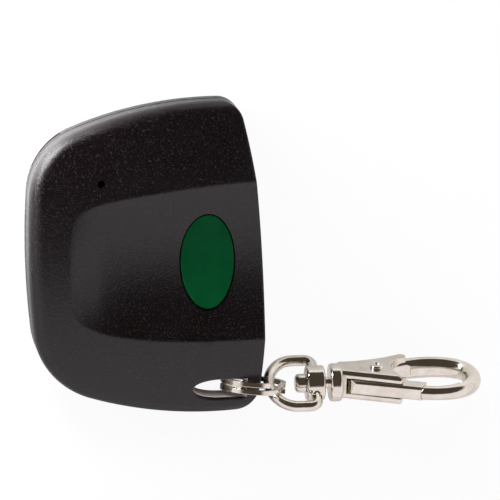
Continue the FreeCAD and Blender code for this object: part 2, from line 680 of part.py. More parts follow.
wire_circle = Part.Wire([Part.makeCircle(SHACKLE_WIRE, path_point, path_direction)])
shackle = shackle_path.makePipeShell([wire_circle], True, True)
print("shackle loop", shackle.isValid(), shackle.Volume)
shackle_boss = rod(2.9, (BOSS_LEFT, 0, 0), (BOSS_RIGHT, 0, 0))
shackle_boss = shackle_boss.makeFillet(0.4, [e for e in shackle_boss.Edges if e.BoundBox.XMax - e.BoundBox.XMin < 0.01])
shackle = shackle.fuse(shackle_boss)
shackle = shackle.cut(rod(PIN_RADIUS + 0.05, (BOSS_LEFT - 1, 0, 0), (BOSS_RIGHT + 1, 0, 0)))
shackle = place_clasp(shackle, SHACKLE_TILT)

# swivel pin

COLLAR_LEFT = 30.5
COLLAR_RIGHT = 32.5
pin_head = rod(1.55, (24.8, 0, 0), (26.55, 0, 0))
pin_head = pin_head.makeFillet(0.7, [e for e in pin_head.Edges if e.BoundBox.XMax < 24.81])
swivel_pin = join([pin_head, rod(PIN_RADIUS, (26.5, 0, 0), (31.9, 0, 0))])
swivel_pin = place_clasp(swivel_pin, HOOK_TILT)

# hook body: collar, two cheeks round the lever, and the hook

CHEEK = 2.6
CHANNEL = 1.4
CHEEK_EDGE = 0.85
CHEEK_LEFT = 32.2
CHEEK_RIGHT = 41.6
CHEEK_LOW = 1.15
CHEEK_HIGH = 4.15
RIVET_X = 38.35
RIVET_RADIUS = 0.7
GATE_REACH = 8.65
TIP_GAP = 0.12
TIP_ANGLE = 34.5
CHEEK_NOSE = 1.0
POCKET_HALF = 1.15
POCKET_LEFT = 40.0
POCKET_RIGHT = 44.6
POCKET_LOW = -3.1


def bend(a, b, c):
    return Part.Arc(spot(*a), spot(*b), spot(*c)).toShape()


# a long beam with two rounded edges, laid along a piece's front line
def rounded_beam(half, start, end, rounding):
    beam = box(-6, 20, -half, half, -12, 0)
    top_edges = [e for e in beam.Edges if e.Length > 19 and e.BoundBox.ZMin > -0.01]
    beam = beam.makeFillet(rounding, top_edges)
    beam.rotate(V(0, 0, 0), Y_AXIS, -math.degrees(math.atan2(end[1] - start[1], end[0] - start[0])))
    beam.translate(spot(*start))
    return beam


collar = rod(3.15, (COLLAR_LEFT, 0, 0), (COLLAR_RIGHT, 0, 0))
collar = collar.makeFillet(0.45, [e for e in collar.Edges if e.BoundBox.XMax - e.BoundBox.XMin < 0.01])
cheek_line = Part.Wire([
    Part.makeLine(spot(CHEEK_LEFT, CHEEK_LOW), spot(CHEEK_LEFT, -2.3)),
    bend((CHEEK_LEFT, -2.3), (37.6, -2.8), (42.7, -4.4)),
    bend((42.7, -4.4), (43.5, -4.15), (43.65, -3.3)),
    bend((43.65, -3.3), (40.75, 0.6), (42.0, 3.15)),
    bend((42.0, 3.15), (42.3, 3.85), (CHEEK_RIGHT, CHEEK_HIGH)),
    Part.makeLine(spot(CHEEK_RIGHT, CHEEK_HIGH), spot(CHEEK_LEFT, CHEEK_LOW)),
])
cheek_face = Part.Face(cheek_line)
cheek_face.translate(V(0, -CHEEK, 0))
cheeks = cheek_face.extrude(V(0, 2 * CHEEK, 0))
channel = box(CHEEK_LEFT + 1.0, 46, -CHANNEL, CHANNEL, -1.6, 8)
cheek_beam = rounded_beam(CHEEK, (CHEEK_LEFT, CHEEK_LOW), (CHEEK_RIGHT, CHEEK_HIGH), CHEEK_EDGE)
cheeks = cheeks.common(cheek_beam).cut(channel)
# the nose of each cheek is rounded off
nose_x = CHEEK_RIGHT + 0.65 - CHEEK_NOSE
for side in (-1, 1):
    corner = box(nose_x, nose_x + 3, CHEEK - CHEEK_NOSE, CHEEK + 1, 1, 6)
    corner = corner.cut(rod(CHEEK_NOSE, (nose_x, CHEEK - CHEEK_NOSE, 0), (nose_x, CHEEK - CHEEK_NOSE, 7)))
    if side < 0:
        corner = corner.mirror(V(0, 0, 0), Y_AXIS)
    cheeks = cheeks.cut(corner)

# the hook's strand: a wide spine that thins towards the tip
hook_points = [
    (40.0, -2.2), (42.4, -3.5), (45.0, -4.25), (47.8, -4.5), (50.4, -4.2),
    (53.3, -2.8), (54.55, 0.0), (53.5, 3.0), (50.6, 4.8), (47.6, 5.05), (44.6, 4.6),
]
# share of the way along, half width, half thickness
strand_sizes = [(0.0, 1.7, 1.1), (0.2, 1.85, 1.2), (0.38, 1.75, 1.25), (0.6, 1.5, 1.3), (0.8, 1.25, 1.15), (1.0, 1.2, 1.1)]
hook_curve = Part.BSplineCurve()
hook_curve.interpolate([spot(*p) for p in hook_points])
first = hook_curve.FirstParameter
last = hook_curve.LastParameter
strand_sweep = Part.BRepOffsetAPI.MakePipeShell(Part.Wire([hook_curve.toShape()]))
for share, half_wide, half_thick in strand_sizes:
    place = first + (last - first) * share
    centre = hook_curve.value(place)
    across = hook_curve.tangent(place)[0].cross(Y_AXIS).normalize()
    oval = Part.Ellipse(centre + V(0, half_wide, 0), centre + across * half_thick, centre)
    strand_sweep.add(Part.Wire([oval.toShape()]))
strand_sweep.build()
strand_sweep.makeSolid()
strand = strand_sweep.shape()
print("strand", strand.isValid(), strand.Volume)
tip_room = box(RIVET_X + 4, RIVET_X + GATE_REACH + TIP_GAP, -4, 4, -2.4, 2.4)
tip_room.rotate(V(RIVET_X, 0, 0), Y_AXIS, -TIP_ANGLE)
strand = strand.cut(tip_room)
# the open channel ends in a pocket in the root of the hook
pocket = box(POCKET_LEFT, POCKET_RIGHT, -POCKET_HALF, POCKET_HALF, POCKET_LOW, 2)
hook_body = cheeks.fuse(strand).cut(pocket).fuse(collar)
hook_body = hook_body.cut(rod(PIN_RADIUS, (COLLAR_LEFT - 1, 0, 0), (31.9, 0, 0)))
hook_body = hook_body.cut(rod(RIVET_RADIUS, (RIVET_X, -4, 0), (RIVET_X, 4, 0)))

# gate lever between the cheeks

LEVER_HALF = CHANNEL - 0.12
LEVER_EDGE = 0.6
LEVER_START = (34.6, 2.5)
LEVER_END = (47.4, 6.2)
lever_points = [
    LEVER_START, (33.9, 1.9), (33.9, 0.9), (34.3, 0.4), (35.6, 0.2), (37.0, -0.9), (39.6, -0.9),
    (41.4, 0.9), (43.3, 2.75), (47.4, 3.95), LEVER_END,
]
lever_face = Part.Face(Part.makePolygon([spot(*p) for p in lever_points + lever_points[:1]]))
lever_face.translate(V(0, -LEVER_HALF, 0))
gate_lever = lever_face.extrude(V(0, 2 * LEVER_HALF, 0))
gate_lever = gate_lever.common(rounded_beam(LEVER_HALF, LEVER_START, LEVER_END, LEVER_EDGE))
gate_lever = gate_lever.common(rod(GATE_REACH, (RIVET_X, -4, 0), (RIVET_X, 4, 0)))
gate_lever = gate_lever.cut(rod(RIVET_RADIUS + 0.05, (RIVET_X, -3, 0), (RIVET_X, 3, 0)))
gate_lever = gate_lever.cut(rod(1.2, (RIVET_X, -0.5, 0), (RIVET_X, 0.5, 0)))

# rivet with a rolled head on each cheek

rivet_shank = rod(RIVET_RADIUS, (RIVET_X, -CHEEK, 0), (RIVET_X, CHEEK, 0))
rivet_parts = [rivet_shank]
for side in (-1, 1):
    head = Part.makeTorus(0.78, 0.38, V(RIVET_X, side * (CHEEK + 0.15), 0), Y_AXIS)
    head = head.fuse(rod(0.8, (RIVET_X, side * CHEEK, 0), (RIVET_X, side * (CHEEK + 0.25), 0)))
    keep = box(RIVET_X - 3, RIVET_X + 3, 0, 6, -3, 3)
    if side < 0:
        keep = box(RIVET_X - 3, RIVET_X + 3, -6, 0, -3, 3)
    slab = box(RIVET_X - 3, RIVET_X + 3, -CHEEK, CHEEK, -3, 3)
    rivet_parts.append(head.common(keep).cut(slab))
lever_rivet = join(rivet_parts)

spring_path = Part.makeHelix(0.42, 0.55, RIVET_RADIUS + 0.18)
spring_wire = Part.Wire([Part.makeCircle(0.18, V(RIVET_RADIUS + 0.18, 0, 0), Y_AXIS)])
lever_spring = Part.Wire(spring_path).makePipeShell([spring_wire], True, True)
lever_spring.rotate(V(0, 0, 0), X_AXIS, -90)
lever_spring.translate(V(RIVET_X, -0.27, 0))

hook_body = place_clasp(hook_body, HOOK_TILT)
gate_lever = place_clasp(gate_lever, HOOK_TILT)
lever_rivet = place_clasp(lever_rivet, HOOK_TILT)
lever_spring = place_clasp(lever_spring, HOOK_TILT)

nodes = {
    "front_shell": front_shell,
    "rear_shell": rear_shell,
    "case_screw": case_screw,
    "button_cap": button_cap,
    "circuit_board": circuit_board,
    "switch_base": switch_base,
    "switch_cover": switch_cover,
    "switch_plunger": switch_plunger,
    "snap_dome": snap_dome,
    "dip_switch_body": dip_switch_body,
    "battery_can": battery_can,
    "battery_nub": battery_nub,
    "battery_plate": battery_plate,
    "battery_spring": battery_spring,
    "spring_plate": spring_plate,
    "encoder_chip": encoder_chip,
    "encoder_leads": encoder_leads,
    "resonator_can": resonator_can,
    "trimmer_body": trimmer_body,
    "trimmer_rotor": trimmer_rotor,
    "rf_transistor": rf_transistor,
    "loop_antenna": loop_antenna,
    "led_lamp": led_lamp,
    "led_legs": led_legs,
    "chip_resistors": chip_resistors,
    "chip_capacitors": chip_capacitors,
    "split_ring": split_ring,
    "shackle": shackle,
    "swivel_pin": swivel_pin,
    "hook_body": hook_body,
    "gate_lever": gate_lever,
    "lever_rivet": lever_rivet,
    "lever_spring": lever_spring,
}
for i, slider in enumerate(sliders):
    nodes["dip_slider_%d" % (i + 1)] = slider

for name, shape in nodes.items():
    solids = shape.Solids
    b = shape.BoundBox
    print(
        name, "valid", shape.isValid(), "solids", len(solids), "volume", round(shape.Volume, 2),
        [round(v, 2) for v in (b.XMin, b.XMax, b.YMin, b.YMax, b.ZMin, b.ZMax)],
    )
    placed = shape.copy()
    placed.translate(V(0, -ORIGIN_Y, 0))
    placed.exportStep("parts/%s.step" % name)
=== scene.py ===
import math

import bpy
from mathutils import Matrix, Quaternion, Vector

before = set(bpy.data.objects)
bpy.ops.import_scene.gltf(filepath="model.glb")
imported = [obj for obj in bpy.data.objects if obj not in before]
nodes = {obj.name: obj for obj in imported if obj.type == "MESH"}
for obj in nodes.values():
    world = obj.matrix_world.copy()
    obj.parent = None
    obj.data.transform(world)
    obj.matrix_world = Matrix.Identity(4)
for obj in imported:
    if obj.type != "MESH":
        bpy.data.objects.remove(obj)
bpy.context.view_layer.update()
print("frame loaded:", len(nodes), "nodes")

mm = 0.001


# camera: above the face and a little to its left, as far off as a product camera
view = {
    "lookAt": (17.16, 1.15, 8.0),
    "side": 7.26,
    "above": 10.9,
    "roll": 0.21,
    "distance": 800.0,
    "frameWidth": 81.75,
    "sensorWidth": 36.0,
    "nearest": 10.0,
    "farthest": 20000.0,
}


def makeCamera():
    side = math.radians(view["side"])
    above = math.radians(view["above"])
    right = Vector((math.cos(side), 0, math.sin(side)))
    up = Vector((math.sin(side) * math.sin(above), math.cos(above), -math.cos(side) * math.sin(above)))
    back = right.cross(up)
    target = Vector(view["lookAt"]) * mm
    cameraData = bpy.data.cameras.new("camera")
    cameraData.sensor_width = view["sensorWidth"]
    cameraData.lens = view["sensorWidth"] * view["distance"] / view["frameWidth"]
    cameraData.clip_start = view["nearest"] * mm
    cameraData.clip_end = view["farthest"] * mm
    camera = bpy.data.objects.new("camera", cameraData)
    bpy.context.scene.collection.objects.link(camera)
    camera.location = target + back * view["distance"] * mm
    camera.rotation_mode = "QUATERNION"
    upright = Matrix((right, up, back)).transposed().to_quaternion()
    camera.rotation_quaternion = Quaternion(back, -math.radians(view["roll"])) @ upright
    bpy.context.scene.camera = camera


# node helpers: sizes are in mm, and each returns the output that the next one takes
def newFinish(name):
    finish = bpy.data.materials.new(name)
    finish.use_nodes = True
    tree = finish.node_tree
    tree.nodes.clear()
    out = tree.nodes.new("ShaderNodeOutputMaterial")
    shader = tree.nodes.new("ShaderNodeBsdfPrincipled")
    tree.links.new(shader.outputs[0], out.inputs[0])
    coords = tree.nodes.new("ShaderNodeTexCoord")
    return finish, tree, shader, coords


def noiseAt(tree, coords, size, detail=2.0, rough=0.5):
    noise = tree.nodes.new("ShaderNodeTexNoise")
    noise.inputs["Scale"].default_value = 1.0 / (size * mm)
    noise.inputs["Detail"].default_value = detail
    noise.inputs["Roughness"].default_value = rough
    tree.links.new(coords.outputs["Object"], noise.inputs["Vector"])
    return noise.outputs["Fac"]


def spread(tree, source, low, high, fromLow=0.3, fromHigh=0.7):
    ranged = tree.nodes.new("ShaderNodeMapRange")
    ranged.inputs["From Min"].default_value = fromLow
    ranged.inputs["From Max"].default_value = fromHigh
    ranged.inputs["To Min"].default_value = low
    ranged.inputs["To Max"].default_value = high
    tree.links.new(source, ranged.inputs["Value"])
    return ranged.outputs["Result"]


def twoTone(tree, source, dark, light, start=0.35, end=0.65):
    ramp = tree.nodes.new("ShaderNodeValToRGB")
    ramp.color_ramp.elements[0].position = start
    ramp.color_ramp.elements[0].color = (*dark, 1)
    ramp.color_ramp.elements[1].position = end
    ramp.color_ramp.elements[1].color = (*light, 1)
    tree.links.new(source, ramp.inputs["Fac"])
    return ramp.outputs["Color"]


def tintOver(tree, under, tint, share):
    mix = tree.nodes.new("ShaderNodeMix")
    mix.data_type = "RGBA"
    mix.inputs["B"].default_value = (*tint, 1)
    tree.links.new(share, mix.inputs["Factor"])
    tree.links.new(under, mix.inputs["A"])
    return mix.outputs["Result"]


def bumpFrom(tree, source, depth, strength, under=None):
    bump = tree.nodes.new("ShaderNodeBump")
    bump.inputs["Distance"].default_value = depth * mm
    bump.inputs["Strength"].default_value = strength
    tree.links.new(source, bump.inputs["Height"])
    if under:
        tree.links.new(under, bump.inputs["Normal"])
    return bump.outputs["Normal"]


def softEdge(tree, radius, crisp=None):
    bevel = tree.nodes.new("ShaderNodeBevel")
    bevel.samples = 6
    bevel.inputs["Radius"].default_value = radius * mm
    if crisp:
        tree.links.new(spread(tree, crisp, radius * mm, 0.0, 0.0, 1.0), bevel.inputs["Radius"])
    return bevel.outputs["Normal"]


def calculate(tree, operation, first, second=None):
    made = tree.nodes.new("ShaderNodeMath")
    made.operation = operation
    tree.links.new(first, made.inputs[0])
    if isinstance(second, float):
        made.inputs[1].default_value = second
    elif second:
        tree.links.new(second, made.inputs[1])
    return made.outputs["Value"]


def lengthOf(tree, vector):
    reach = tree.nodes.new("ShaderNodeVectorMath")
    reach.operation = "LENGTH"
    tree.links.new(vector, reach.inputs[0])
    return reach.outputs["Value"]


def partsOf(tree, vector):
    parts = tree.nodes.new("ShaderNodeSeparateXYZ")
    tree.links.new(vector, parts.inputs["Vector"])
    return parts.outputs


# where a point is from a middle, turned about the height, in shares of the half sizes
def placeFrom(tree, coords, middle, half, turn=0.0):
    moved = tree.nodes.new("ShaderNodeMapping")
    moved.vector_type = "TEXTURE"
    moved.inputs["Location"].default_value = Vector(middle) * mm
    moved.inputs["Rotation"].default_value = (0, 0, math.radians(turn))
    moved.inputs["Scale"].default_value = Vector(half) * mm
    tree.links.new(coords.outputs["Object"], moved.inputs["Vector"])
    return moved.outputs["Vector"]


# a half size past the part's own, for a mask with no limit along that axis
endless = 1000.0

# black moulded case: fine spark texture, a touch of gloss, faint handling wear, and a painted highlight
# of light grey on the key ring slot's walls
caseLook = {
    "dark": (0.0013, 0.0004, 0.0008),
    "light": (0.0025, 0.0010, 0.0015),
    "speck": (0.0150, 0.0145, 0.0155),
    "speckSize": 0.26,
    "speckFrom": 0.62,
    "speckTo": 0.80,
    "grain": 0.2,
    "grainDetail": 3.0,
    "grainRough": 0.6,
    "coarseGrain": 0.45,
    "grainDepth": 0.05,
    "grainBump": 1.0,
    "coarseBump": 0.6,
    "handled": 9.0,
    "handledDetail": 3.0,
    "roughLow": 0.25,
    "roughHigh": 0.31,
    "refraction": 1.5,
    "edge": 0.6,
    # painted highlight: light grey for the key ring slot's walls, in place of the light they catch
    "slotPaintedLight": (0.62, 0.58, 0.55),
    "slotMiddle": (11.95, -21.5, 0.0),
    "slotHalf": (4.55, 1.68, endless),
    "slotFade": 0.97,
    "pryMiddle": (-16.0, 18.1, 3.05),
    "pryHalf": (3.6, endless, 0.97),
    "pryTurn": 47.0,
    "crispRounds": {
        "button": {"middle": (9.95, -0.2, 0.0), "half": (5.5, 8.9, endless)},
        "lampHole": {"middle": (-7.6, 13.5, 0.0), "half": (1.4, 1.4, endless)},
    },
}


# 1 inside the key ring slot, round at its left end, where the walls get a painted highlight of light grey
def paintedLightMask(tree, coords):
    place = partsOf(tree, placeFrom(tree, coords, caseLook["slotMiddle"], caseLook["slotHalf"]))
    offset = tree.nodes.new("ShaderNodeCombineXYZ")
    tree.links.new(calculate(tree, "MINIMUM", place["X"], 0.0), offset.inputs["X"])
    tree.links.new(place["Y"], offset.inputs["Y"])
    farthest = calculate(tree, "MAXIMUM", lengthOf(tree, offset.outputs["Vector"]), place["X"])
    return spread(tree, farthest, 1.0, 0.0, caseLook["slotFade"], 1.0)


# 1 inside the pry slot, a dull recess
def pryMask(tree, coords):
    moved = placeFrom(tree, coords, caseLook["pryMiddle"], caseLook["pryHalf"], caseLook["pryTurn"])
    place = partsOf(tree, moved)
    inLength = calculate(tree, "LESS_THAN", calculate(tree, "ABSOLUTE", place["X"]), 1.0)
    inHeight = calculate(tree, "LESS_THAN", calculate(tree, "ABSOLUTE", place["Z"]), 1.0)
    return calculate(tree, "MULTIPLY", inLength, inHeight)


# 1 around the button's opening and the lamp hole, whose edges are crisp
def crispMask(tree, coords):
    inside = []
    for opening in caseLook["crispRounds"].values():
        place = placeFrom(tree, coords, opening["middle"], opening["half"])
        inside.append(calculate(tree, "LESS_THAN", lengthOf(tree, place), 1.0))
    return calculate(tree, "MAXIMUM", *inside)


def casePlastic():
    finish, tree, shader, coords = newFinish("casePlastic")
    grain = noiseAt(tree, coords, caseLook["grain"], caseLook["grainDetail"], caseLook["grainRough"])
    coarse = noiseAt(tree, coords, caseLook["coarseGrain"])
    handled = noiseAt(tree, coords, caseLook["handled"], caseLook["handledDetail"])
    plain = twoTone(tree, coarse, caseLook["dark"], caseLook["light"])
    specks = noiseAt(tree, coords, caseLook["speckSize"], 0.0)
    speckShare = spread(tree, specks, 0.0, 1.0, caseLook["speckFrom"], caseLook["speckTo"])
    colour = tintOver(tree, plain, caseLook["speck"], speckShare)
    # painted highlight: the key ring slot's walls turn light grey
    paintedSlot = tintOver(tree, colour, caseLook["slotPaintedLight"], paintedLightMask(tree, coords))
    tree.links.new(paintedSlot, shader.inputs["Base Color"])
    gloss = spread(tree, handled, caseLook["roughLow"], caseLook["roughHigh"])
    dulled = calculate(tree, "MAXIMUM", gloss, pryMask(tree, coords))
    tree.links.new(dulled, shader.inputs["Roughness"])
    edge = softEdge(tree, caseLook["edge"], crispMask(tree, coords))
    fine = bumpFrom(tree, grain, caseLook["grainDepth"], caseLook["grainBump"], edge)
    both = bumpFrom(tree, coarse, caseLook["grainDepth"], caseLook["coarseBump"], fine)
    tree.links.new(both, shader.inputs["Normal"])
    shader.inputs["IOR"].default_value = caseLook["refraction"]
    return finish


# dark green button: nearly flat, hardly any shine
buttonLook = {
    "dark": (0.0007, 0.0495, 0.0142),
    "light": (0.0011, 0.058, 0.0170),
    "cloud": 3.0,
    "grain": 0.25,
    "grainDetail": 3.0,
    "grainDepth": 0.006,
    "grainBump": 0.5,
    "roughLow": 0.46,
    "roughHigh": 0.56,
    "shine": 0.04,
}


def buttonPlastic():
    finish, tree, shader, coords = newFinish("buttonPlastic")
    grain = noiseAt(tree, coords, buttonLook["grain"], buttonLook["grainDetail"])
    cloud = noiseAt(tree, coords, buttonLook["cloud"])
    colour = twoTone(tree, cloud, buttonLook["dark"], buttonLook["light"])
    tree.links.new(colour, shader.inputs["Base Color"])
    gloss = spread(tree, grain, buttonLook["roughLow"], buttonLook["roughHigh"])
    tree.links.new(gloss, shader.inputs["Roughness"])
    fine = bumpFrom(tree, grain, buttonLook["grainDepth"], buttonLook["grainBump"])
    tree.links.new(fine, shader.inputs["Normal"])
    shader.inputs["Specular IOR Level"].default_value = buttonLook["shine"]
    return finish


# polished nickel plate: warm, a little wavy, with softened cast edges
nickelLook = {
    "dark": (0.735, 0.693, 0.590),
    "light": (0.83, 0.80, 0.705),
    "cloud": 2.2,
    "cloudDetail": 3.0,
    "wear": 0.5,
    "wearDetail": 4.0,
    "wearRough": 0.7,
    "roughLow": 0.08,
    "roughHigh": 0.17,
    "ripple": 1.1,
    "rippleDetail": 1.0,
    "rippleDepth": 0.03,
    "rippleBump": 0.35,
    "edge": 0.16,
}


def nickelPlate():
    finish, tree, shader, coords = newFinish("nickelPlate")
    cloud = noiseAt(tree, coords, nickelLook["cloud"], nickelLook["cloudDetail"])
    wear = noiseAt(tree, coords, nickelLook["wear"], nickelLook["wearDetail"], nickelLook["wearRough"])
    ripple = noiseAt(tree, coords, nickelLook["ripple"], nickelLook["rippleDetail"])
    colour = twoTone(tree, cloud, nickelLook["dark"], nickelLook["light"])
    tree.links.new(colour, shader.inputs["Base Color"])
    gloss = spread(tree, wear, nickelLook["roughLow"], nickelLook["roughHigh"])
    tree.links.new(gloss, shader.inputs["Roughness"])
    edge = softEdge(tree, nickelLook["edge"])
    wavy = bumpFrom(tree, ripple, nickelLook["rippleDepth"], nickelLook["rippleBump"], edge)
    tree.links.new(wavy, shader.inputs["Normal"])
    shader.inputs["Metallic"].default_value = 1.0
    return finish


# every other finish: two close tones of one colour, its gloss, and the size of its grain in mm
plainLooks = {
    "blackSteel": {
        "dark": (0.02, 0.02, 0.021),
        "light": (0.045, 0.044, 0.045),
        "gloss": (0.3, 0.45),
        "grain": 0.8,
        "metal": 1.0,
    },
    "springSteel": {
        "dark": (0.42, 0.42, 0.41),
        "light": (0.62, 0.61, 0.6),
        "gloss": (0.18, 0.34),
        "grain": 0.5,
        "metal": 1.0,
    },
    "tinnedSteel": {
        "dark": (0.56, 0.56, 0.55),
        "light": (0.74, 0.74, 0.72),
        "gloss": (0.22, 0.42),
        "grain": 1.4,
        "metal": 1.0,
    },
    "contactMetal": {
        "dark": (0.58, 0.44, 0.18),
        "light": (0.78, 0.64, 0.32),
        "gloss": (0.2, 0.36),
        "grain": 1.0,
        "metal": 1.0,
    },
    "switchPlastic": {
        "dark": (0.016, 0.016, 0.017),
        "light": (0.028, 0.028, 0.029),
        "gloss": (0.4, 0.55),
        "grain": 0.6,
        "metal": 0.0,
    },
    "codeSwitchPlastic": {
        "dark": (0.018, 0.05, 0.22),
        "light": (0.026, 0.07, 0.29),
        "gloss": (0.35, 0.5),
        "grain": 0.7,
        "metal": 0.0,
    },
    "sliderPlastic": {
        "dark": (0.78, 0.78, 0.74),
        "light": (0.88, 0.88, 0.85),
        "gloss": (0.25, 0.38),
        "grain": 0.5,
        "metal": 0.0,
    },
    "trimmerPlastic": {
        "dark": (0.42, 0.24, 0.08),
        "light": (0.56, 0.34, 0.13),
        "gloss": (0.38, 0.52),
        "grain": 0.6,
        "metal": 0.0,
    },
    "chipResin": {
        "dark": (0.01, 0.01, 0.011),
        "light": (0.02, 0.02, 0.022),
        "gloss": (0.5, 0.68),
        "grain": 0.35,
        "metal": 0.0,
    },
    "capacitorClay": {
        "dark": (0.38, 0.25, 0.13),
        "light": (0.5, 0.36, 0.21),
        "gloss": (0.45, 0.62),
        "grain": 0.4,
        "metal": 0.0,
    },
    "batteryJacket": {
        "dark": (0.03, 0.03, 0.036),
        "light": (0.06, 0.06, 0.07),
        "gloss": (0.16, 0.3),
        "grain": 2.5,
        "metal": 0.0,
    },
}

# what the plain finishes share: the cloud of the two tones, and a finer bump
plainGrain = {
    "detail": 4.0,
    "rough": 0.6,
    "fineShare": 0.3,
    "fineDepth": 0.008,
    "fineBump": 0.4,
}


def plainFinish(name):
    look = plainLooks[name]
    finish, tree, shader, coords = newFinish(name)
    cloud = noiseAt(tree, coords, look["grain"], plainGrain["detail"], plainGrain["rough"])
    fine = noiseAt(tree, coords, look["grain"] * plainGrain["fineShare"])
    tree.links.new(twoTone(tree, cloud, look["dark"], look["light"]), shader.inputs["Base Color"])
    tree.links.new(spread(tree, cloud, *look["gloss"]), shader.inputs["Roughness"])
    uneven = bumpFrom(tree, fine, plainGrain["fineDepth"], plainGrain["fineBump"])
    tree.links.new(uneven, shader.inputs["Normal"])
    shader.inputs["Metallic"].default_value = look["metal"]
    return finish


# circuit board: green lacquer over copper tracks that run along the board
boardLook = {
    "lacquer": (0.010, 0.070, 0.022),
    "overCopper": (0.022, 0.125, 0.042),
    "trackPitch": 1.5,
    "trackFrom": 0.38,
    "trackTo": 0.42,
    "trackDepth": 0.02,
    "trackBump": 0.3,
    "cloud": 1.2,
    "roughLow": 0.22,
    "roughHigh": 0.34,
}


def boardLacquer():
    finish, tree, shader, coords = newFinish("boardLacquer")
    tracks = tree.nodes.new("ShaderNodeTexVoronoi")
    tracks.distance = "CHEBYCHEV"
    tracks.inputs["Scale"].default_value = 1.0 / (boardLook["trackPitch"] * mm)
    tree.links.new(coords.outputs["Object"], tracks.inputs["Vector"])
    covered = tracks.outputs["Distance"]
    tones = (boardLook["overCopper"], boardLook["lacquer"])
    colour = twoTone(tree, covered, *tones, boardLook["trackFrom"], boardLook["trackTo"])
    tree.links.new(colour, shader.inputs["Base Color"])
    cloud = noiseAt(tree, coords, boardLook["cloud"])
    gloss = spread(tree, cloud, boardLook["roughLow"], boardLook["roughHigh"])
    tree.links.new(gloss, shader.inputs["Roughness"])
    raised = bumpFrom(tree, covered, boardLook["trackDepth"], boardLook["trackBump"])
    tree.links.new(raised, shader.inputs["Normal"])
    return finish


# red lamp: cloudy resin that lets light through
lensLook = {
    "deep": (0.022, 0.001, 0.001),
    "clear": (0.045, 0.002, 0.002),
    "cloud": 1.0,
    "roughLow": 0.08,
    "roughHigh": 0.16,
    "seeThrough": 0.55,
    "refraction": 1.5,
}


def lampLens():
    finish, tree, shader, coords = newFinish("lampLens")
    cloud = noiseAt(tree, coords, lensLook["cloud"])
    tree.links.new(twoTone(tree, cloud, lensLook["deep"], lensLook["clear"]), shader.inputs["Base Color"])
    gloss = spread(tree, cloud, lensLook["roughLow"], lensLook["roughHigh"])
    tree.links.new(gloss, shader.inputs["Roughness"])
    shader.inputs["Transmission Weight"].default_value = lensLook["seeThrough"]
    shader.inputs["IOR"].default_value = lensLook["refraction"]
    return finish


# a corner whose normal strays from its facet's takes the mean of the facet's other corners
normalStray = 40.0


def mendNormals(node):
    mesh = node.data
    least = math.cos(math.radians(normalStray))
    normals = [corner.vector.copy() for corner in mesh.corner_normals]
    mended = 0
    for facet in mesh.polygons:
        strays = [i for i in facet.loop_indices if normals[i].dot(facet.normal) < least]
        kept = [i for i in facet.loop_indices if i not in strays]
        if not strays or not kept:
            continue
        middle = sum((normals[i] for i in kept), Vector()).normalized()
        for i in strays:
            normals[i] = middle
        mended += len(strays)
    mesh.normals_split_custom_set(normals)
    return mended


makeCamera()
print("normals mended:", mendNormals(nodes["front_shell"]))

finishes = {name: plainFinish(name) for name in plainLooks}
finishes["casePlastic"] = casePlastic()
finishes["buttonPlastic"] = buttonPlastic()
finishes["nickelPlate"] = nickelPlate()
finishes["boardLacquer"] = boardLacquer()
finishes["lampLens"] = lampLens()

dressed = {
    "casePlastic": ["front_shell", "rear_shell"],
    "buttonPlastic": ["button_cap"],
    "blackSteel": ["case_screw"],
    "nickelPlate": [
        "split_ring", "shackle", "swivel_pin", "hook_body", "gate_lever", "lever_rivet",
        "battery_nub", "resonator_can",
    ],
    "springSteel": ["lever_spring"],
    "tinnedSteel": ["encoder_leads", "led_legs", "switch_cover", "loop_antenna", "snap_dome"],
    "contactMetal": ["battery_plate", "spring_plate", "battery_spring", "trimmer_rotor"],
    "boardLacquer": ["circuit_board"],
    "switchPlastic": ["switch_base", "switch_plunger"],
    "codeSwitchPlastic": ["dip_switch_body"],
    "sliderPlastic": ["dip_slider_%d" % (i + 1) for i in range(10)],
    "trimmerPlastic": ["trimmer_body"],
    "chipResin": ["encoder_chip", "rf_transistor", "chip_resistors"],
    "capacitorClay": ["chip_capacitors"],
    "batteryJacket": ["battery_can"],
    "lampLens": ["led_lamp"],
}
for finishName, nodeNames in dressed.items():
    for nodeName in nodeNames:
        nodes[nodeName].data.materials.clear()
        nodes[nodeName].data.materials.append(finishes[finishName])
bare = set(nodes) - {name for names in dressed.values() for name in names}
print("finishes on, nodes left bare:", sorted(bare))


# room: white all round, with one round dark patch in front of the face and above it
room = {
    "white": 1.0,
    "lit": (0.97, 0.905, 0.96),
    "dark": (0.066, 0.052, 0.040),
    "darkToward": (-0.10, 0.585, 0.80),
    "darkRadius": 53.0,
    "softness": 5.5,
}


